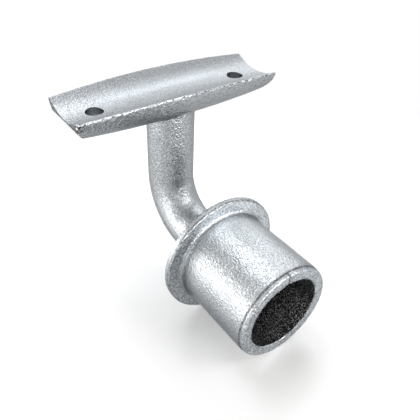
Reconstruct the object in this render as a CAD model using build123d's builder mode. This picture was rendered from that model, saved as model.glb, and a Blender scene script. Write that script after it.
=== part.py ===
"""Handrail bracket: one iron casting with a hollow spigot, a flange, a bent arm and a saddle.

Sizes are in millimetres. The origin is the centre of the flange's seat face, where the end
of the tube stops. The spigot points along -Y, the arm leaves the flange along +Y and bends
up to +Z, and the handrail lies in the saddle along X.
"""

from build123d import *

import os
from math import isclose, radians, tan

# Tube and rail that the casting is made for
rail_diameter = 48.3
tube_bore = 41.9
spigot_clearance = 0.4

# Spigot that plugs into the tube, with a cored hollow
spigot_length = 38.5
spigot_wall = 5.0
hollow_depth = 35.5
hollow_corner_radius = 3.0
mouth_chamfer_length = 1.6
mouth_chamfer_depth = 0.65
mouth_rounding = 0.4
root_fillet = 1.5

# Flange that the tube's end seats on
flange_diameter = 53.5
flange_thickness = 3.0
flange_rounding = 0.5

# Arm, from the flange's back to the saddle's underside
arm_diameter = 20.0
bend_radius = 20.0
reach = 40.0
rise = 58.0
arm_flange_fillet = 1.5
arm_saddle_fillet = 0.8

# Saddle: a half-round bar, thicker in the middle, with the rail's groove in its top
saddle_length = 90.0
saddle_end_radius = 13.3
saddle_middle_radius = 15.25
bar_axis_above_groove = 6.2
lip_below_groove = 0.5
end_undercut_angle = 33.0
end_rounding = 0.8
rim_rounding = 0.4

# Screw holes through the saddle
hole_diameter = 7.0
hole_spacing = 66.0

# Radii and places worked out from the sizes above
spigot_radius = (tube_bore - spigot_clearance) / 2
hollow_radius = spigot_radius - spigot_wall
hollow_floor = hollow_depth - spigot_length
flange_radius = flange_diameter / 2
groove_radius = rail_diameter / 2
rail_axis_height = rise + groove_radius
bar_axis_height = rise + bar_axis_above_groove
saddle_bottom = bar_axis_height - saddle_middle_radius
arm_top = (saddle_bottom + rise) / 2
half_length = saddle_length / 2
lip_bottom = rise - lip_below_groove
end_set_back = (lip_bottom - saddle_bottom) * tan(radians(end_undercut_angle))

# Upright planes: along the rail through its axis, and across the rail through the arm
rail_plane = Plane.XZ.offset(-reach)
arm_plane = Plane.YZ


def round_edges(radius):
    """The part's circular edges of one radius, as a selector for filter_by."""
    return lambda edge: edge.geom_type == GeomType.CIRCLE and isclose(edge.radius, radius)


with BuildPart() as handrail_bracket:
    # Half-round bar, turned about its own axis
    with BuildSketch(rail_plane):
        with BuildLine():
            bar_axis = Line((-half_length, bar_axis_height), (half_length, bar_axis_height))
            right_end = Line(bar_axis @ 1, (half_length, bar_axis_height - saddle_end_radius))
            keel = ThreePointArc(
                right_end @ 1,
                (0, saddle_bottom),
                (-half_length, bar_axis_height - saddle_end_radius),
            )
            Line(keel @ 1, bar_axis @ 0)
        make_face()
    revolve(axis=Axis((0, reach, bar_axis_height), (1, 0, 0)))

    # Ends: a shallow upright lip, undercut below it
    with BuildSketch(rail_plane):
        with BuildLine():
            Polyline(
                (-half_length, rail_axis_height),
                (half_length, rail_axis_height),
                (half_length, lip_bottom),
                (half_length - end_set_back, saddle_bottom),
                (-half_length + end_set_back, saddle_bottom),
                (-half_length, lip_bottom),
                close=True,
            )
        make_face()
    extrude(amount=saddle_middle_radius, both=True, mode=Mode.INTERSECT)
    undercuts = handrail_bracket.faces().filter_by(GeomType.PLANE).group_by(Axis.Z)[0]
    fillet(undercuts.edges().filter_by(GeomType.LINE, reverse=True), end_rounding)

    # Groove that the handrail lies in, with its long rims rounded
    with BuildSketch(arm_plane):
        with Locations((reach, rail_axis_height)):
            Circle(groove_radius)
    extrude(amount=saddle_length, both=True, mode=Mode.SUBTRACT)
    fillet(handrail_bracket.edges().group_by(SortBy.LENGTH)[-1], rim_rounding)

    # Screw holes
    with Locations((0, reach, rise)):
        with GridLocations(hole_spacing, 0, 2, 1):
            Hole(hole_diameter / 2, depth=saddle_middle_radius)

    # Arm: straight out of the flange, round the bend and up into the saddle
    with BuildLine(arm_plane) as arm_line:
        lower_run = Line((flange_thickness / 2, 0), (reach - bend_radius, 0))
        bend = JernArc(lower_run @ 1, lower_run % 1, bend_radius, 90)
        Line(bend @ 1, (reach, arm_top))
    with BuildSketch(Plane(origin=arm_line.line @ 0, z_dir=arm_line.line % 0)):
        Circle(arm_diameter / 2)
    sweep(path=arm_line.line)
    fillet(handrail_bracket.edges(Select.NEW), arm_saddle_fillet)

    # Flange and hollow spigot, turned about the tube's axis
    with BuildSketch(Plane.XY):
        with BuildLine():
            Polyline(
                (0, flange_thickness),
                (flange_radius, flange_thickness),
                (flange_radius, 0),
                (spigot_radius, 0),
                (spigot_radius, mouth_chamfer_length - spigot_length),
                (spigot_radius - mouth_chamfer_depth, -spigot_length),
                (hollow_radius, -spigot_length),
                (hollow_radius, hollow_floor),
                (0, hollow_floor),
                close=True,
            )
        make_face()
    revolve(axis=Axis.Y)
    fillet(handrail_bracket.edges(Select.NEW), arm_flange_fillet)

    # Cast roundings of the flange, the spigot's root, the mouth and the hollow's floor
    turned = handrail_bracket.edges()
    flange_rims = turned.filter_by(round_edges(flange_radius))
    fillet(flange_rims, flange_rounding)
    root = handrail_bracket.edges().filter_by(round_edges(spigot_radius)).sort_by(Axis.Y)[-1]
    fillet(root, root_fillet)
    mouth = handrail_bracket.edges().filter_by(GeomType.CIRCLE).group_by(Axis.Y)[0]
    fillet(mouth, mouth_rounding)
    floor_edge = handrail_bracket.edges().filter_by(round_edges(hollow_radius)).sort_by(Axis.Y)[-1]
    fillet(floor_edge, hollow_corner_radius)

handrail_bracket.part.label = "handrail_bracket"

os.makedirs("parts", exist_ok=True)
export_step(handrail_bracket.part, "parts/handrail_bracket.step")
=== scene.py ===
"""Looks of the handrail bracket: hot-dip galvanised cast iron, lying on a pale floor.

Lengths named in the parts below are in millimetres; Blender's own units are metres.
"""

from math import cos, pi, radians, sin, tan

import bmesh
import bpy
import numpy as np
from mathutils import Matrix, Vector


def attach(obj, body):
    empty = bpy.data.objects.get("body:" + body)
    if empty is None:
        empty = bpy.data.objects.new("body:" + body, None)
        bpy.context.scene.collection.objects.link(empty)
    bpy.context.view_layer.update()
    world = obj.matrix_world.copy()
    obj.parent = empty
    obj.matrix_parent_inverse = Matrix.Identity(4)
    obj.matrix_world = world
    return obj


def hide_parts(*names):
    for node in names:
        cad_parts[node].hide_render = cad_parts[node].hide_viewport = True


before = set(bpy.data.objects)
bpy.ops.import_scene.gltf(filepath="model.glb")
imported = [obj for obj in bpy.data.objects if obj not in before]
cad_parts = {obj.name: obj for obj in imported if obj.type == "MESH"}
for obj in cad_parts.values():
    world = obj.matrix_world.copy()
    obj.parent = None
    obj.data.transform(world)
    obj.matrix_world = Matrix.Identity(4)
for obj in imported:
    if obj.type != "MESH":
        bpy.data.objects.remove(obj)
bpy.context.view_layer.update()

MM = 0.001
mesh_spacing = 0.6

# Spigot and flange, turned about the Y axis
spigot_radius = 20.75
spigot_length = 38.5
hollow_radius = 15.75
hollow_floor = -3.0
hollow_corner_radius = 3.0
mouth_chamfer_length = 1.6
mouth_chamfer_depth = 0.65
mouth_rounding = 0.4
mouth_fold = radians(-2)
root_fillet = 1.5
flange_radius = 26.75
flange_thickness = 3.0
flange_rounding = 0.5

# Arm, from the flange's back up into the saddle
arm_radius = 10.0
bend_radius = 20.0
arm_flange_fillet = 1.5
arm_saddle_fillet = 0.8
reach = 40.0
rise = 58.0

# Saddle: the bar turned about its own axis, the groove in its top, and its undercut ends
groove_radius = 24.15
saddle_half_length = 45.0
saddle_end_radius = 13.3
saddle_middle_radius = 15.25
rim_rounding = 0.4
end_rounding = 0.7
end_undercut = tan(radians(33.0))
lip_bottom = rise - 0.5
rail_axis_height = rise + groove_radius
bar_axis_height = rise + 6.2
saddle_bottom = bar_axis_height - saddle_middle_radius
hole_radius = 3.5
hole_spacing = 66.0

# The saddle's corner from which the zinc dripped off, and how far wear and creases reach
dripping_corner = (-45.0, 27.2, 60.4)
edge_reach = 1.2
crease_reach = 0.7

# Zinc: low and high in its grain, in pits and on plain cast faces; painted highlights on the flange's
# top and the groove's middle, painted shade at the spigot's root and the groove's back; edges lighter
# from wear and a painted highlight, and whiter beads
zinc_low = (0.235, 0.248, 0.26, 1)
zinc_high = (0.465, 0.486, 0.505, 1)
zinc_pit = (0.08, 0.085, 0.09, 1)
zinc_cloud = (0.36, 0.38, 0.40, 1)
cast_low = (0.14, 0.152, 0.168, 1)
cast_high = (0.70, 0.755, 0.81, 1)
painted_flange_highlight = (0.80, 0.86, 0.92, 1)
root_painted_shade = (0.16, 0.17, 0.18, 1)
groove_painted_highlight = (0.66, 0.71, 0.76, 1)
groove_painted_shade = (0.19, 0.198, 0.208, 1)
worn_and_highlit_edge = (0.72, 0.75, 0.78, 1)
bead_zinc = (0.84, 0.86, 0.88, 1)

# Dirt in the rims' nicked spots, painted shade on the saddle's ends, in creases and round the flange's
# side, burnt zinc at the dripping corner, and the core's black skin
dirt_and_shade_black = (0.07, 0.07, 0.075, 1)
burnt_brown = (0.055, 0.048, 0.042, 1)
core_black = (0.009, 0.009, 0.010, 1)
core_glint = (0.85, 0.88, 0.90, 1)

# The photograph's frame and camera, in the part's own frame
photo_pixels = 420
focal_pixels = 497.2
camera_place = Vector((-99.603, -118.466, 143.450)) * MM
camera_direction = Vector((0.48444, 0.62497, -0.61215))
camera_up = Vector((0.33493, 0.51392, 0.78975))

# The bracket lies on the rims of its flange and its mouth
floor_under_flange = Vector((0.0, 0.0, -26.75))
floor_under_mouth = Vector((0.0, -36.9, -20.75))
floor_half_width = 2000.0

# The floor's paint, and the light added to it in the picture and in reflections
floor_paint = (0.74, 0.74, 0.745, 1)
floor_lift = 0.25
floor_roughness = 0.3

# Square softboxes around the bracket, in metres: name, direction, radiance and colour
softbox_side = 0.28
softbox_distance = 0.6
softbox_target = Vector((0, 10, 20)) * MM
warm_white = (1.0, 0.98, 0.95)
cool_white = (0.97, 0.99, 1.0)
softboxes = (
    ("low_front_softbox", (0.0, -0.97, 0.23), 11.0, warm_white),
    ("low_right_softbox", (0.42, -0.9, 0.05), 9.0, warm_white),
    ("right_front_softbox", (0.39, -0.57, 0.72), 5.2, warm_white),
    ("left_softbox", (-1.0, 0.0, 0.07), 5.2, warm_white),
    ("far_left_softbox", (-0.6, 0.8, 0.05), 5.2, warm_white),
    ("left_back_softbox", (-0.86, 0.5, 0.0), 3.2, warm_white),
    ("right_back_softbox", (0.86, 0.5, 0.0), 0.8, cool_white),
    ("low_back_softbox", (0.45, 0.88, 0.12), 1.9, cool_white),
    ("high_right_softbox", (0.68, 0.49, 0.54), 2.9, cool_white),
    ("high_back_softbox", (0.0, 0.69, 0.73), 3.1, cool_white),
    ("top_softbox", (0.0, 0.39, 0.92), 4.0, cool_white),
)
room_fill = 0.1


class Wire:
    """One output socket of a node tree. Arithmetic on wires adds Math nodes to the tree."""

    def __init__(self, graph, socket):
        self.graph = graph
        self.socket = socket

    def out(self, name):
        """Another output of the same node."""
        return Wire(self.graph, self.socket.node.outputs[name])

    def maths(self, operation, *values):
        return self.graph.node("ShaderNodeMath", {"operation": operation}, dict(enumerate(values)))

    def __add__(self, other):
        return self.maths("ADD", self, other)

    def __radd__(self, other):
        return self.maths("ADD", other, self)

    def __sub__(self, other):
        return self.maths("SUBTRACT", self, other)

    def __rsub__(self, other):
        return self.maths("SUBTRACT", other, self)

    def __mul__(self, other):
        return self.maths("MULTIPLY", self, other)

    def __rmul__(self, other):
        return self.maths("MULTIPLY", other, self)

    def __truediv__(self, other):
        return self.maths("DIVIDE", self, other)

    def __rtruediv__(self, other):
        return self.maths("DIVIDE", other, self)

    def __pow__(self, other):
        return self.maths("POWER", self, other)

    def __lt__(self, other):
        return self.maths("LESS_THAN", self, other)

    def __gt__(self, other):
        return self.maths("GREATER_THAN", self, other)

    def __abs__(self):
        return self.maths("ABSOLUTE", self)

    def square_root(self):
        return self.maths("SQRT", self)

    def most(self, other):
        """The larger of two values."""
        return self.maths("MAXIMUM", self, other)

    def fade(self, zero_at, one_at):
        """0 at one value and 1 at the other, smooth between them."""
        return self.graph.node(
            "ShaderNodeMapRange",
            {"interpolation_type": "SMOOTHSTEP"},
            {"Value": self, "From Min": zero_at, "From Max": one_at},
        )


class Graph:
    """A node tree, with one method that adds any node."""

    def __init__(self, tree):
        self.tree = tree

    def node(self, kind, settings=None, inputs=None):
        """Add a node, set its settings first, then the values or wires of its sockets."""
        made = self.tree.nodes.new(kind)
        for name, value in (settings or {}).items():
            setattr(made, name, value)
        for name, value in (inputs or {}).items():
            if isinstance(name, int):
                socket = made.inputs[name]
            else:
                socket = next(s for s in made.inputs if s.name == name and s.enabled)
            if isinstance(value, Wire):
                self.tree.links.new(value.socket, socket)
            else:
                socket.default_value = value
        shown = [s for s in made.outputs if s.enabled]
        return Wire(self, shown[0]) if shown else None

    def scaled(self, vector, scale):
        """A vector times a number."""
        return self.node("ShaderNodeVectorMath", {"operation": "SCALE"}, {0: vector, "Scale": scale})

    def mix(self, factor, first, second):
        """A Mix node on colours."""
        return self.node(
            "ShaderNodeMix",
            {"data_type": "RGBA"},
            {"Factor": factor, "A": first, "B": second},
        )


def new_material(name):
    """An empty material and its graph."""
    material = bpy.data.materials.new(name)
    material.use_nodes = True
    material.node_tree.nodes.clear()
    return material, Graph(material.node_tree)


def seen_directly(graph):
    """1 for rays that show the background: from the camera, off metal or through glass."""
    path = graph.node("ShaderNodeLightPath")
    shiny = path.out("Is Glossy Ray").most(path.out("Is Transmission Ray"))
    return shiny.most(path.out("Is Camera Ray"))


# Finishes


class Zones:
    """The casting's zones as wires of one graph: 1 on a zone, 0 off it, smooth between."""

    def __init__(self, graph):
        metres = graph.node("ShaderNodeTexCoord").out("Object")
        place = graph.scaled(metres, 1 / MM)
        x, y, z = (graph.node("ShaderNodeSeparateXYZ", None, {0: place}).out(axis) for axis in "XYZ")
        self.place = place
        self.x, self.y, self.z = x, y, z

        # The unfinished core surface inside the spigot
        self.from_axis = (x * x + z * z).square_root()
        self.hollow = self.from_axis.fade(hollow_radius + 0.25, hollow_radius + 0.05)
        self.hollow = self.hollow * (y < -2.0) * (y > 0.15 - spigot_length)

        # The groove, its back, and the middle of its length behind the rail's middle line
        from_rail = (y - reach) * (y - reach) + (z - rail_axis_height) * (z - rail_axis_height)
        self.groove = (from_rail - (groove_radius + 0.15) ** 2).fade(4.0, 0.0)
        self.groove_back = self.groove * (y - reach).fade(4.5, 13.0)
        self.groove_middle = self.groove * (y - reach).fade(2.5, 6.5) * abs(x).fade(38.0, 12.0)

        # The screw holes, the rest of the saddle, and the arm
        from_hole = (abs(x) - hole_spacing / 2) ** 2.0 + (y - reach) * (y - reach)
        self.hole = from_hole.fade((hole_radius + 0.25) ** 2, (hole_radius + 0.1) ** 2)
        self.saddle = (z - saddle_bottom).fade(-0.5, 1.0) * (1.0 - self.groove) * (1.0 - self.hole)
        self.arm = (y - flange_thickness).fade(0.0, 2.0) * (saddle_bottom - z).fade(-1.0, 1.0)

        # The flange's front and side, the spigot's root, and the mouth
        self.flange = (y + 0.35).fade(-0.2, 0.1) * (0.3 - y).fade(-0.2, 0.1)
        self.flange = self.flange * self.from_axis.fade(flange_radius - 0.5, flange_radius - 1.0)
        self.flange_side = self.from_axis.fade(flange_radius - 0.6, flange_radius - 0.2)
        self.root = self.from_axis.fade(spigot_radius + 1.7, spigot_radius + 1.1)
        self.root = self.root * (y + 1.6).fade(0.0, 0.5) * (y < 0.0)
        self.mouth = (0.4 - spigot_length - y).fade(-0.2, 0.2) * (1.0 - self.hollow)

        # What is marked on the meshes: edges that wear, creases, the stained corner and beads
        self.edge, self.crease, self.stain, self.drop = (
            graph.node("ShaderNodeAttribute", {"attribute_name": name}).out("Fac")
            for name in ("edge", "crease", "stain", "drop")
        )


class Mottling:
    """The zinc's patterns, from broad clouds down to single specks."""

    def __init__(self, graph, place):
        # Noise has flat spots on planes of its own grid, so it is turned away from the faces
        turned = graph.node(
            "ShaderNodeVectorRotate",
            {"rotation_type": "EULER_XYZ"},
            {"Vector": place, "Rotation": (0.5, 0.7, 0.3)},
        )

        def noise(size, detail):
            return graph.node(
                "ShaderNodeTexNoise",
                None,
                {"Vector": turned, "Scale": 1 / size, "Detail": detail, "Roughness": 0.5},
            )

        self.clouds = noise(7.0, 3.0)
        self.lumps = noise(1.7, 2.0)
        self.chips = noise(1.1, 1.0)
        self.flecks = noise(0.9, 0.0)
        self.leather = noise(0.78, 1.0)
        self.grain = noise(0.5, 1.0)
        self.specks = noise(0.36, 0.0)
        self.core_specks = noise(0.24, 0.0)


def zinc_colour(graph, on, pattern, contrast):
    """Grey zinc: mottled all over, with painted highlights and painted shade by zone, edges lighter
    from wear and a painted highlight, and white where it beaded.
    """
    mottled = (pattern.grain - 0.48) * (2.5 * (contrast + 0.6 * on.arm)) + 0.55
    zinc = graph.mix(mottled, zinc_low, zinc_high)
    zinc = graph.mix((0.5 - pattern.specks).fade(0.12, 0.24) * 0.7, zinc, zinc_pit)
    zinc = graph.mix(pattern.clouds.fade(0.35, 0.65) * 0.2, zinc, zinc_cloud)

    # The flange's front and the mouth are left as they came cast
    as_cast = on.flange + on.mouth
    zinc = graph.mix((0.46 - pattern.leather).fade(0.0, 0.1) * 0.4 * as_cast, zinc, cast_low)
    zinc = graph.mix((pattern.leather - 0.47).fade(0.0, 0.1) * 0.6 * as_cast, zinc, cast_high)
    # A painted highlight lightens the top of the flange's front
    flange_highlight_mask = on.flange * (on.z / on.from_axis).fade(0.7, 0.97)
    flange_highlight_mask = flange_highlight_mask * (0.4 + 0.45 * pattern.leather.fade(0.42, 0.58))
    zinc = graph.mix(flange_highlight_mask, zinc, painted_flange_highlight)
    # Painted shade darkens the spigot's root fillet
    zinc = graph.mix(on.root * 0.45, zinc, root_painted_shade)
    # A painted highlight lightens the groove's middle, and painted shade darkens its back
    zinc = graph.mix(on.groove_middle * (1.0 - on.groove_back) * 0.35, zinc, groove_painted_highlight)
    zinc = graph.mix(on.groove_back * 0.75, zinc, groove_painted_shade)

    # Edges are lighter, partly from wear and partly as a painted highlight, less on the saddle and to
    # the right, and beads of zinc are whiter
    to_right = on.x.fade(-8.0, 22.0)
    on_rims = (on.z - saddle_bottom).fade(0.0, 5.0)
    wear_and_highlight = 0.45 - 0.3 * to_right - 0.25 * on_rims * (1.0 - to_right)
    zinc = graph.mix(on.edge.fade(0.45, 0.85) * wear_and_highlight, zinc, worn_and_highlit_edge)
    return graph.mix(on.drop * 0.35, zinc, bead_zinc)


def dirt_and_painted_shade(on, pattern):
    """1 where dirt sits in nicked spots on the rims, and for painted shade on the saddle's ends, in
    the mouth's creases and round the flange's side.
    """
    to_right = on.x.fade(-8.0, 22.0)
    nicks_and_end_shade = (pattern.flecks + to_right * 0.07).fade(0.56, 0.62)
    nicks_and_end_shade = nicks_and_end_shade * on.edge.fade(0.3, 0.6) * (1.0 - on.groove)
    # The saddle's ends are darkened as painted shade
    near_end = saddle_half_length - 0.4
    left_end = (-near_end - on.x).fade(0.0, 0.25)
    right_end = (on.x - near_end).fade(0.0, 0.25)
    nicks_and_end_shade = nicks_and_end_shade.most((left_end + right_end * 0.35) * 0.85)
    # The mouth's creases are darkened as painted shade
    creases = on.crease.fade(0.2, 0.6) * (0.45 + 0.55 * pattern.chips.fade(0.35, 0.5))
    # A dark line round the flange's side, between its lit rims, is painted shade
    side_line = abs(on.y - flange_thickness / 4).fade(0.5, 0.2) * on.flange_side
    side_line = side_line * pattern.chips.fade(0.4, 0.52)
    return nicks_and_end_shade.most(creases.most(side_line * 0.8))


def galvanised_iron():
    """Zinc on a sand casting: satin grey metal with a fine grain, and a black rough hollow."""
    material, graph = new_material("galvanised_iron")
    on = Zones(graph)
    pattern = Mottling(graph, on.place)

    # The groove is smoother than the rest, apart from its back
    contrast = 1.0 - on.groove * 0.4 + on.groove_back * 0.6
    contrast = contrast * (1.0 - on.hole * 0.8)
    zinc = zinc_colour(graph, on, pattern, contrast)
    # Dirt in the rims' nicked spots, and painted shade on the saddle's ends, along the mouth's creases
    # and round the flange's side
    zinc = graph.mix(dirt_and_painted_shade(on, pattern) * (1.0 - on.drop) * 0.85, zinc, dirt_and_shade_black)
    burnt = on.stain * pattern.chips.fade(0.48, 0.52) * (1.0 - on.drop)
    zinc = graph.mix(burnt * 0.9, zinc, burnt_brown)
    glints = (pattern.core_specks - 0.5).fade(0.17, 0.22)
    core = graph.mix(glints, core_black, core_glint)
    colour = graph.mix(on.hollow, zinc, core)

    # Relief too fine for the mesh, in millimetres
    fine = (pattern.leather - 0.5) * 0.2 + (pattern.grain - 0.5) * 0.12 + (pattern.specks - 0.5) * 0.04
    fine = fine * contrast * (1.0 - on.hollow)
    rough = (pattern.leather - 0.5) * 0.1 * (on.flange + on.mouth)
    rough = rough + (pattern.lumps - 0.5) * (0.35 * on.mouth + 0.5 * on.saddle)
    height = fine + rough + on.hollow * (pattern.core_specks - 0.5) * 0.5
    relief = graph.node(
        "ShaderNodeBump",
        None,
        {"Strength": 1.0, "Distance": MM, "Height": height},
    )
    surface = graph.node(
        "ShaderNodeBsdfPrincipled",
        None,
        {
            "Base Color": colour,
            "Metallic": 1.0,
            "Roughness": 0.33 + (pattern.clouds - 0.5) * 0.1 + (on.hollow + on.groove) * 0.1,
            "Specular Tint": (0.5, 0.5, 0.5, 1),
            "Normal": relief,
        },
    )
    graph.node("ShaderNodeOutputMaterial", None, {"Surface": surface})
    return material


def pale_floor():
    """Near white in the picture, darker under the object, and plain white further out."""
    material, graph = new_material("pale_floor")
    place = graph.node("ShaderNodeTexCoord").out("Object")
    away = graph.node("ShaderNodeVectorMath", {"operation": "LENGTH"}, {0: place})
    paint = graph.node(
        "ShaderNodeBsdfPrincipled", None, {"Base Color": floor_paint, "Roughness": floor_roughness}
    )
    glow = graph.node("ShaderNodeEmission", None, {"Strength": floor_lift})
    lit = graph.node("ShaderNodeAddShader", None, {0: paint, 1: glow})
    near = graph.node("ShaderNodeMixShader", None, {"Fac": seen_directly(graph), 1: paint, 2: lit})
    white = graph.node("ShaderNodeEmission", None, {"Strength": 1.0})
    both = graph.node("ShaderNodeMixShader", None, {"Fac": away.fade(0.16, 0.3), 1: near, 2: white})
    graph.node("ShaderNodeOutputMaterial", None, {"Surface": both})
    return material


# The casting


def rounded_line(corners, spacing):
    """Points along a line with rounded corners, each given as two coordinates and a radius."""
    points = [np.array(corners[0][:2])]
    for before, corner, after in zip(corners, corners[1:], corners[2:]):
        here = np.array(corner[:2])
        radius = corner[2]
        if radius == 0:
            points.append(here)
            continue
        back = np.array(before[:2]) - here
        ahead = np.array(after[:2]) - here
        back /= np.linalg.norm(back)
        ahead /= np.linalg.norm(ahead)
        half_turn = np.arccos(back @ ahead) / 2
        middle = (back + ahead) / np.linalg.norm(back + ahead)
        centre = here + middle * radius / np.sin(half_turn)
        start = here + back * radius / np.tan(half_turn) - centre
        end = here + ahead * radius / np.tan(half_turn) - centre
        whole = np.arctan2(start[0] * end[1] - start[1] * end[0], start @ end)
        for turn in np.linspace(0, whole, 6):
            turned = start * np.cos(turn) + np.array([-start[1], start[0]]) * np.sin(turn)
            points.append(centre + turned)
    points.append(np.array(corners[-1][:2]))
    line = [points[0]]
    for point in points[1:]:
        first = line[-1]
        steps = max(1, round(np.linalg.norm(point - first) / spacing))
        line.extend(first + (point - first) * step / steps for step in range(1, steps + 1))
    return np.array(line)


def bar_radius(x):
    """Radius of the saddle's bar, which swells toward the arm."""
    swell = saddle_middle_radius - saddle_end_radius
    keel_radius = (saddle_half_length**2 + swell**2) / (2 * swell)
    return saddle_middle_radius - keel_radius + np.sqrt(keel_radius**2 - x**2)


def underside(x, y):
    """Height of the saddle's underside."""
    return bar_axis_height - np.sqrt(bar_radius(x) ** 2 - (y - reach) ** 2)


def saddle_end(z):
    """Half the saddle's length at a height: upright at the lip, undercut below it."""
    return saddle_half_length - np.maximum(lip_bottom - z, 0) * end_undercut


def end_rounded_off(x, z):
    """How much the rounding of the saddle's ends takes off its underside."""
    inside = np.clip(saddle_end(z) - abs(x), 0, end_rounding)
    return end_rounding - np.sqrt(end_rounding**2 - (end_rounding - inside) ** 2)


def rim_centre(x):
    """Centre of the rim's rounding: how far out from the groove's middle, and its height."""
    near = bar_radius(x) - rim_rounding
    far = groove_radius + rim_rounding
    gap = rail_axis_height - bar_axis_height
    drop = (far**2 - near**2 + gap**2) / (2 * gap)
    return np.sqrt(far**2 - drop**2), rail_axis_height - drop


class Shell:
    """Vertices and faces of a closed surface, in millimetres."""

    def __init__(self):
        self.points = []
        self.faces = []

    def add(self, points):
        """Add points of any array shape and return their numbers in that shape."""
        points = np.asarray(points, float)
        first = len(self.points)
        self.points.extend(points.reshape(-1, 3))
        return np.arange(first, len(self.points)).reshape(points.shape[:-1])

    def join_rings(self, rings):
        """Faces between neighbouring rings, where a ring may have half the points of the last."""
        for ring, following in zip(rings, rings[1:]):
            step = len(ring) // len(following)
            ring = np.append(ring, ring[0])
            following = np.append(following, following[0])
            for place in range(len(following) - 1):
                side = ring[place * step : (place + 1) * step + 1]
                self.faces.append([*side, following[place + 1], following[place]])

    def join_rows(self, rows):
        """Faces between the neighbouring points of a grid."""
        for row, following in zip(rows, rows[1:]):
            for place in range(len(row) - 1):
                self.faces.append(
                    [row[place], row[place + 1], following[place + 1], following[place]]
                )

    def close_ring(self, ring, middle):
        """A fan of triangles from a ring to one point."""
        pole = self.add(middle)
        for place, corner in enumerate(ring):
            self.faces.append([corner, ring[place - 1], pole])

    def build(self, name):
        """A Blender object of the shell, with its faces outward."""
        bm = bmesh.new()
        corners = [bm.verts.new(point * MM) for point in self.points]
        for face in self.faces:
            bm.faces.new([corners[number] for number in face]).smooth = True
        bmesh.ops.recalc_face_normals(bm, faces=bm.faces)
        mesh = bpy.data.meshes.new(name)
        bm.to_mesh(mesh)
        bm.free()
        made = bpy.data.objects.new(name, mesh)
        bpy.context.scene.collection.objects.link(made)
        return made


def tube_part(spacing):
    """Hollow, spigot, flange and arm in rings, up to a cap inside the saddle."""
    pole_radius = 0.4
    fewer_points_from = 18.0
    front = rounded_line(
        [
            (hollow_floor, pole_radius, 0),
            (hollow_floor, hollow_radius, hollow_corner_radius),
            (-spigot_length, hollow_radius, mouth_rounding),
            (-spigot_length, spigot_radius - mouth_chamfer_depth, mouth_rounding),
            (mouth_chamfer_length - spigot_length, spigot_radius, 0),
            (0, spigot_radius, root_fillet),
            (0, flange_radius, flange_rounding),
            (flange_thickness, flange_radius, flange_rounding),
            (flange_thickness, fewer_points_from, 0),
        ],
        spacing,
    )
    back = rounded_line(
        [
            (flange_thickness, fewer_points_from - spacing, 0),
            (flange_thickness, arm_radius, arm_flange_fillet),
            (reach - bend_radius, arm_radius, 0),
        ],
        spacing,
    )
    shell = Shell()
    arm_points = round(2 * pi * arm_radius / spacing)
    rings = []
    for line, count in ((front, 2 * arm_points), (back, arm_points)):
        angle = np.arange(count) * 2 * pi / count
        for y, radius in line:
            ring = [radius * np.cos(angle), 0 * angle + y, radius * np.sin(angle)]
            rings.append(shell.add(np.stack(ring, -1)))

    # Round the bend, whose middle is above the lower run and in front of the upright
    x = arm_radius * np.cos(angle)
    inward = arm_radius * np.sin(angle)
    from_middle = bend_radius - inward
    steps = round(bend_radius * pi / 2 / spacing)
    for turn in np.arange(1, steps + 1) * pi / 2 / steps:
        y = reach - bend_radius + from_middle * sin(turn)
        ring = [x, y, bend_radius - from_middle * cos(turn)]
        rings.append(shell.add(np.stack(ring, -1)))

    # Up to the saddle's underside, with a small flare into it
    y = reach - inward
    fillet_start = underside(x, y) - arm_saddle_fillet
    steps = round((fillet_start.max() - bend_radius) / spacing)
    for share in np.arange(1, steps + 1) / steps:
        ring = [x, y, bend_radius + (fillet_start - bend_radius) * share]
        rings.append(shell.add(np.stack(ring, -1)))
    for share in np.arange(1, 6) / 5:
        spread = 1 + 1.2 * arm_saddle_fillet / arm_radius * share**2
        wide_x, wide_y = x * spread, reach - inward * spread
        lift = 1.35 * arm_saddle_fillet * share
        ring = [wide_x, wide_y, underside(wide_x, wide_y) - arm_saddle_fillet + lift]
        rings.append(shell.add(np.stack(ring, -1)))
    shell.join_rings(rings)
    shell.close_ring(rings[0], (0, hollow_floor, 0))
    shell.close_ring(rings[-1], (0, reach, (rise + saddle_bottom) / 2))
    return shell.build("tube_part")


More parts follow.
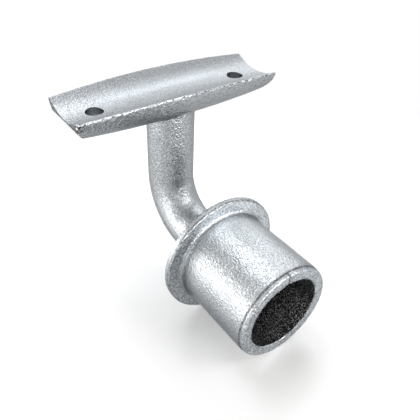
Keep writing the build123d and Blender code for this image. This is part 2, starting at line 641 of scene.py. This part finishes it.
def saddle_part(spacing):
    """The saddle in loops along its length: groove, back rim, underside, front rim."""
    across = 64
    in_rim = 3
    along = round(2 * saddle_half_length / spacing)
    down = 12
    side = np.linspace(-1, 1, across + 1)
    between = np.arange(1, in_rim + 1) / (in_rim + 1)

    # Three more loops close to each end carry its rounding
    near_end = 1 - np.array([0.08, 0.2, 0.38]) / saddle_half_length
    share = np.sort(np.concatenate([np.linspace(-1, 1, along + 1), near_end, -near_end]))[:, None]

    def section(x, z):
        """Both coordinates across the saddle, for points at a length and about a height."""
        splits = np.cumsum([across + 1, in_rim, across + 1])
        parts = np.split(x, splits, axis=1)
        rounded_off = np.split(end_rounded_off(x, z), splits, axis=1)[2] * (1 - side**6)
        out, height = [], []
        for part, turn, piece in zip(parts, (side, between, -side, between), range(4)):
            rim_out, rim_height = rim_centre(part)
            groove_turn = np.arctan2(rim_out, rail_axis_height - rim_height)
            bar_turn = np.arctan2(rim_out, bar_axis_height - rim_height)
            if piece == 0:
                angle = groove_turn * turn
                out.append(groove_radius * np.sin(angle))
                height.append(rail_axis_height - groove_radius * np.cos(angle))
            elif piece == 2:
                angle = bar_turn * turn
                radius = bar_radius(part) - rounded_off
                out.append(radius * np.sin(angle))
                height.append(bar_axis_height - radius * np.cos(angle))
            else:
                share_turned = turn if piece == 1 else 1 - turn
                angle = groove_turn + pi + (bar_turn - groove_turn - pi) * share_turned
                to_back = 1 if piece == 1 else -1
                out.append(to_back * (rim_out + rim_rounding * np.sin(angle)))
                height.append(rim_height - rim_rounding * np.cos(angle))
        return reach + np.hstack(out), np.hstack(height)

    # The undercut sets each point's length by its height, and both settle in a few rounds
    x = share * saddle_half_length + np.zeros(2 * (across + 1 + in_rim))
    z = np.full_like(x, rise)
    for _ in range(8):
        y, z = section(x, z)
        x = share * saddle_end(z)
    shell = Shell()
    loops = shell.add(np.stack([x, y, z], -1))
    shell.join_rings(list(loops))

    # Each end face in columns from the groove down to the underside, with a row on the lip
    for loop, direction in ((loops[0], -1), (loops[-1], 1)):
        top = loop[: across + 1]
        bottom = loop[across + 1 + in_rim : 2 * across + 2 + in_rim][::-1]
        corners = np.array(shell.points)
        top_z, bottom_z = corners[top, 2], corners[bottom, 2]
        top_y, bottom_y = corners[top, 1], corners[bottom, 1]
        lip = np.where(bottom_z < lip_bottom, (top_z - lip_bottom) / (top_z - bottom_z), 0.5)
        upper = np.linspace(0, 1, down // 3 + 1)[:, None] * lip
        lower = lip + np.linspace(0, 1, down - down // 3 + 1)[1:, None] * (1 - lip)
        depth = np.vstack([upper, lower])[1:-1, 1:-1]
        z = top_z[1:-1] + (bottom_z - top_z)[1:-1] * depth
        y = top_y[1:-1] + (bottom_y - top_y)[1:-1] * depth
        inner = shell.add(np.stack([direction * saddle_end(z), y, z], -1))
        columns = np.vstack([top[1:-1], inner, bottom[1:-1]])
        shell.join_rows(columns)
        back_rim = loop[across + 1 : across + 1 + in_rim]
        front_rim = loop[2 * across + 2 + in_rim :]
        shell.faces.append([top[-1], *back_rim, bottom[-1], *columns[::-1, -1]])
        shell.faces.append([bottom[0], *front_rim, top[0], *columns[:, 0]])
    return shell.build("saddle_part")


def screw_hole(x, spacing):
    """A closed cylinder that cuts one screw hole."""
    shell = Shell()
    count = round(2 * pi * hole_radius / spacing)
    angle = np.arange(count) * 2 * pi / count
    heights = np.arange(saddle_bottom - 3, rise + 5, spacing)
    ring_x, ring_y = x + hole_radius * np.cos(angle), reach + hole_radius * np.sin(angle)
    rings = [shell.add(np.stack([ring_x, ring_y, 0 * angle + z], -1)) for z in heights]
    shell.join_rings(rings)
    shell.close_ring(rings[0], (x, reach, heights[0]))
    shell.close_ring(rings[-1], (x, reach, heights[-1]))
    return shell.build("screw_hole")


def plain_mesh(piece):
    """Turn a piece with modifiers into a plain mesh."""
    evaluated = piece.evaluated_get(bpy.context.evaluated_depsgraph_get())
    mesh = bpy.data.meshes.new_from_object(evaluated)
    piece.modifiers.clear()
    piece.data = mesh
    mesh.name = piece.name


def whole_casting(spacing):
    """The bracket as one closed mesh."""
    casting = tube_part(spacing)
    casting.name = "bracket_casting"
    others = [saddle_part(spacing)]
    others += [screw_hole(x, spacing) for x in (-hole_spacing / 2, hole_spacing / 2)]
    for other, operation in zip(others, ("UNION", "DIFFERENCE", "DIFFERENCE")):
        join = casting.modifiers.new(other.name, "BOOLEAN")
        join.operation = operation
        join.object = other
        join.solver = "MANIFOLD"
    plain_mesh(casting)
    for other in others:
        bpy.data.objects.remove(other)
    return casting


def edge_closeness(points):
    """For points in millimetres: 1 on an edge of the casting and 0 beyond the edges' reach."""
    x, y, z = points.T
    to_groove = abs(np.hypot(y - reach, z - rail_axis_height) - groove_radius)
    to_bar = abs(np.hypot(y - reach, z - bar_axis_height) - bar_radius(x))
    to_end = abs(saddle_end(z) - abs(x))

    # An edge of the saddle is where two of its three surfaces are near
    saddle = np.sort([to_groove, to_bar, to_end], axis=0)[1]
    from_axis = np.hypot(x, z)
    round_rims = (
        (-spigot_length, spigot_radius - mouth_chamfer_depth, 0.4),
        (-spigot_length, hollow_radius, 0.85),
        (0, flange_radius, 0.7),
        (flange_thickness, flange_radius, 0.9),
    )
    closeness = np.clip(1 - saddle / edge_reach, 0, 1) * (y > 10)
    for rim_y, radius, strength in round_rims:
        away = np.hypot(y - rim_y, from_axis - radius)
        closeness = np.maximum(closeness, strength * np.clip(1 - away / edge_reach, 0, 1))
    return closeness


def crease_closeness(points):
    """1 where the mouth's chamfer starts and on the fold across the mouth, 0 beyond reach."""
    x, y, z = points.T
    chamfer_start = mouth_chamfer_length - spigot_length
    away = np.hypot(y - chamfer_start, np.hypot(x, z) - spigot_radius)
    from_fold = abs(x * cos(mouth_fold) - z * sin(mouth_fold))
    across_mouth = (y < chamfer_start) & (z > 0)
    nearest = np.where(across_mouth, np.minimum(away, from_fold), away)
    return np.clip(1 - nearest / crease_reach, 0, 1)


def mark(mesh, name, values):
    """Store one number for each vertex of a mesh."""
    mesh.attributes.new(name, "FLOAT", "POINT").data.foreach_set("value", values)


def mark_casting(mesh):
    """Mark where the casting's edges wear, where it is creased, stained at its corner, and set with
    beads.
    """
    points = np.empty(3 * len(mesh.vertices))
    mesh.vertices.foreach_get("co", points)
    points = points.reshape(-1, 3) / MM
    x, y, z = points.T
    edge = edge_closeness(points)
    mark(mesh, "edge", edge)
    mark(mesh, "crease", crease_closeness(points))
    from_corner = np.linalg.norm(points - dripping_corner, axis=1)
    mark(mesh, "stain", np.interp(from_corner, (2.2, 3.6), (1, 0)))

    # Most beads hang on the front rim, fewest a little left of its middle, many at the corner
    to_front = np.interp(y, (reach - 12, reach), (0.8, 0.45))
    along_rim = np.interp(x, (-42, -31, -19, -12, -5, 20), (0.85, 0.45, 0.45, 1, 1, 0.65))
    at_corner = 1.6 * np.clip(1 - from_corner / 4, 0, 1)
    bead = edge * (to_front * along_rim + at_corner)
    mark(mesh, "bead", np.where(z > lip_bottom, bead, edge * 0.15))


def modifier_tree(name, numbers):
    """A Geometry Nodes tree with named inputs, its graph and the wires of its inputs."""
    tree = bpy.data.node_groups.new(name, "GeometryNodeTree")
    tree.interface.new_socket("Geometry", in_out="INPUT", socket_type="NodeSocketGeometry")
    for label, value in numbers.items():
        kind = "NodeSocketInt" if isinstance(value, int) else "NodeSocketFloat"
        tree.interface.new_socket(label, in_out="INPUT", socket_type=kind).default_value = value
    tree.interface.new_socket("Finish", in_out="INPUT", socket_type="NodeSocketMaterial")
    tree.interface.new_socket("Geometry", in_out="OUTPUT", socket_type="NodeSocketGeometry")
    graph = Graph(tree)
    first = graph.node("NodeGroupInput")
    wires = {label: first.out(label) for label in ("Geometry", *numbers, "Finish")}
    return tree, graph, wires


def finish_tree(graph, geometry, finish):
    """End a tree with real geometry in one material."""
    real = graph.node("GeometryNodeRealizeInstances", None, {"Geometry": geometry})
    dressed = graph.node("GeometryNodeSetMaterial", None, {"Geometry": real, "Material": finish})
    graph.node("NodeGroupOutput", None, {"Geometry": dressed})


def run_tree(piece, tree, finish):
    """Put a tree on a piece, give it its finish, and turn the result into a plain mesh."""
    modifier = piece.modifiers.new(tree.name, "NODES")
    modifier.node_group = tree
    for socket in tree.interface.items_tree:
        if socket.name == "Finish":
            modifier[socket.identifier] = finish
    plain_mesh(piece)


def cast_skin_tree():
    """Pushes a casting's skin in and out by a sand mould's unevenness, and wears its edges."""
    numbers = {
        "Wave Size": 7.0,
        "Wave Depth": 0.1,
        "Grain Size": 1.0,
        "Grain Depth": 0.1,
        "Edge Wear": 0.3,
        "Crease Depth": 0.22,
        "Seed": 3,
    }
    tree, graph, given = modifier_tree("cast_skin", numbers)
    place = graph.scaled(graph.node("GeometryNodeInputPosition"), 1 / MM)

    def marked(name):
        return graph.node("GeometryNodeInputNamedAttribute", {"data_type": "FLOAT"}, {"Name": name})

    def noise(size, offset):
        return graph.node(
            "ShaderNodeTexNoise",
            {"noise_dimensions": "4D"},
            {"Vector": place, "W": given["Seed"] + offset, "Scale": 1 / size, "Detail": 2.0},
        )

    waves = (noise(given["Wave Size"], 0.0) - 0.5) * given["Wave Depth"]
    grain = (noise(given["Grain Size"], 10.0) - 0.5) * given["Grain Depth"]
    bites = noise(given["Grain Size"] * 0.8, 20.0).fade(0.5, 0.7)
    bites = bites * marked("edge") * given["Edge Wear"]
    fold = noise(given["Grain Size"] * 2.0, 30.0) * 2.0 * marked("crease") * given["Crease Depth"]
    push = (waves + grain) * 2.0 - bites - fold
    along = graph.scaled(graph.node("GeometryNodeInputNormal"), push * MM)
    moved = graph.node(
        "GeometryNodeSetPosition", None, {"Geometry": given["Geometry"], "Offset": along}
    )
    finish_tree(graph, moved, given["Finish"])
    return tree


def zinc_beads_tree():
    """Scatters flat beads of zinc over a casting, many along its rims and few elsewhere."""
    numbers = {
        "Rim Beads Each Square Millimetre": 0.7,
        "Skin Beads Each Square Millimetre": 0.01,
        "Smallest": 0.12,
        "Largest": 0.6,
        "Flatness": 0.5,
        "Seed": 5,
    }
    tree, graph, given = modifier_tree("zinc_beads", numbers)
    rim = graph.node("GeometryNodeInputNamedAttribute", {"data_type": "FLOAT"}, {"Name": "bead"})
    rim_beads = rim * rim * given["Rim Beads Each Square Millimetre"]
    density = (rim_beads + given["Skin Beads Each Square Millimetre"]) / (MM * MM)
    spots = graph.node(
        "GeometryNodeDistributePointsOnFaces",
        None,
        {"Mesh": given["Geometry"], "Density": density, "Seed": given["Seed"]},
    )
    chance = graph.node(
        "FunctionNodeRandomValue", {"data_type": "FLOAT"}, {"Seed": given["Seed"] + 1}
    )
    size = given["Smallest"] + (given["Largest"] - given["Smallest"]) * chance**3.0
    size = size * (0.6 + rim * 0.6)
    extent = graph.node(
        "ShaderNodeCombineXYZ", None, {"X": size, "Y": size, "Z": size * given["Flatness"]}
    )
    bead = graph.node(
        "GeometryNodeMeshUVSphere", None, {"Segments": 8, "Rings": 5, "Radius": MM}
    )
    smooth = graph.node("GeometryNodeSetShadeSmooth", None, {"Geometry": bead})
    named = graph.node(
        "GeometryNodeStoreNamedAttribute",
        {"data_type": "FLOAT", "domain": "POINT"},
        {"Geometry": smooth, "Name": "drop", "Value": 1.0},
    )
    placed = graph.node(
        "GeometryNodeInstanceOnPoints",
        None,
        {"Points": spots, "Instance": named, "Rotation": spots.out("Rotation"), "Scale": extent},
    )
    finish_tree(graph, placed, given["Finish"])
    return tree


def dressed(piece, *replaced):
    """Attach a finished piece to the root body and hide the CAD parts it replaces."""
    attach(piece, "root")
    for node in replaced:
        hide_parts(node)


def make_bracket():
    """The casting with its skin and its finish, and the beads of zinc on it."""
    iron = galvanised_iron()
    casting = whole_casting(mesh_spacing)
    mark_casting(casting.data)
    run_tree(casting, cast_skin_tree(), iron)
    casting.data.set_sharp_from_angle(angle=radians(40))
    beads = casting.copy()
    beads.data = casting.data.copy()
    beads.name = "zinc_beads"
    bpy.context.scene.collection.objects.link(beads)
    run_tree(beads, zinc_beads_tree(), iron)
    dressed(casting, "handrail_bracket")
    dressed(beads)


# Floor, light and camera


def make_floor():
    """A wide plane through the lowest points of the flange and the mouth."""
    along = (floor_under_mouth - floor_under_flange).normalized()
    across = Vector((1, 0, 0))
    half = floor_half_width
    corners = [
        (floor_under_flange + across * half * to_side + along * half * to_front) * MM
        for to_side, to_front in ((-1, 1), (1, 1), (1, -1), (-1, -1))
    ]
    mesh = bpy.data.meshes.new("floor")
    mesh.from_pydata(corners, [], [(0, 1, 2, 3)])
    mesh.materials.append(pale_floor())
    floor = bpy.data.objects.new("floor", mesh)
    bpy.context.scene.collection.objects.link(floor)


def softbox(name, toward, radiance, colour):
    """A square lamp that faces the bracket from one direction."""
    lamp = bpy.data.lights.new(name, "AREA")
    lamp.shape = "SQUARE"
    lamp.color = colour
    lamp.size = softbox_side
    lamp.energy = radiance * pi * softbox_side**2
    stand = bpy.data.objects.new(name, lamp)
    stand.location = softbox_target + Vector(toward).normalized() * softbox_distance
    stand.rotation_euler = Vector(toward).to_track_quat("Z", "Y").to_euler()
    stand.visible_camera = False
    bpy.context.scene.collection.objects.link(stand)


def white_room(fill):
    """A white world in the picture and in reflections, and a plain fill light elsewhere."""
    world = bpy.data.worlds.new("white_room")
    world.use_nodes = True
    world.node_tree.nodes.clear()
    graph = Graph(world.node_tree)
    seen = seen_directly(graph)
    strength = seen + (1 - seen) * fill
    light = graph.node("ShaderNodeBackground", None, {"Color": (1, 1, 1, 1), "Strength": strength})
    graph.node("ShaderNodeOutputWorld", None, {"Surface": light})
    bpy.context.scene.world = world


def photo_camera():
    """The camera that was fitted to the photograph."""
    camera = bpy.data.cameras.new("photo_camera")
    camera.sensor_width = 36.0
    camera.lens = camera.sensor_width * focal_pixels / photo_pixels
    camera.clip_start = 0.01
    stand = bpy.data.objects.new("photo_camera", camera)
    right = camera_direction.cross(camera_up)
    turn = Matrix((right, camera_up, -camera_direction)).transposed()
    stand.matrix_world = Matrix.Translation(camera_place) @ turn.to_4x4()
    bpy.context.scene.collection.objects.link(stand)
    bpy.context.scene.camera = stand


make_bracket()
make_floor()
for name, toward, radiance, colour in softboxes:
    softbox(name, toward, radiance, colour)
white_room(room_fill)
photo_camera()
bpy.context.scene.view_settings.view_transform = "Standard"
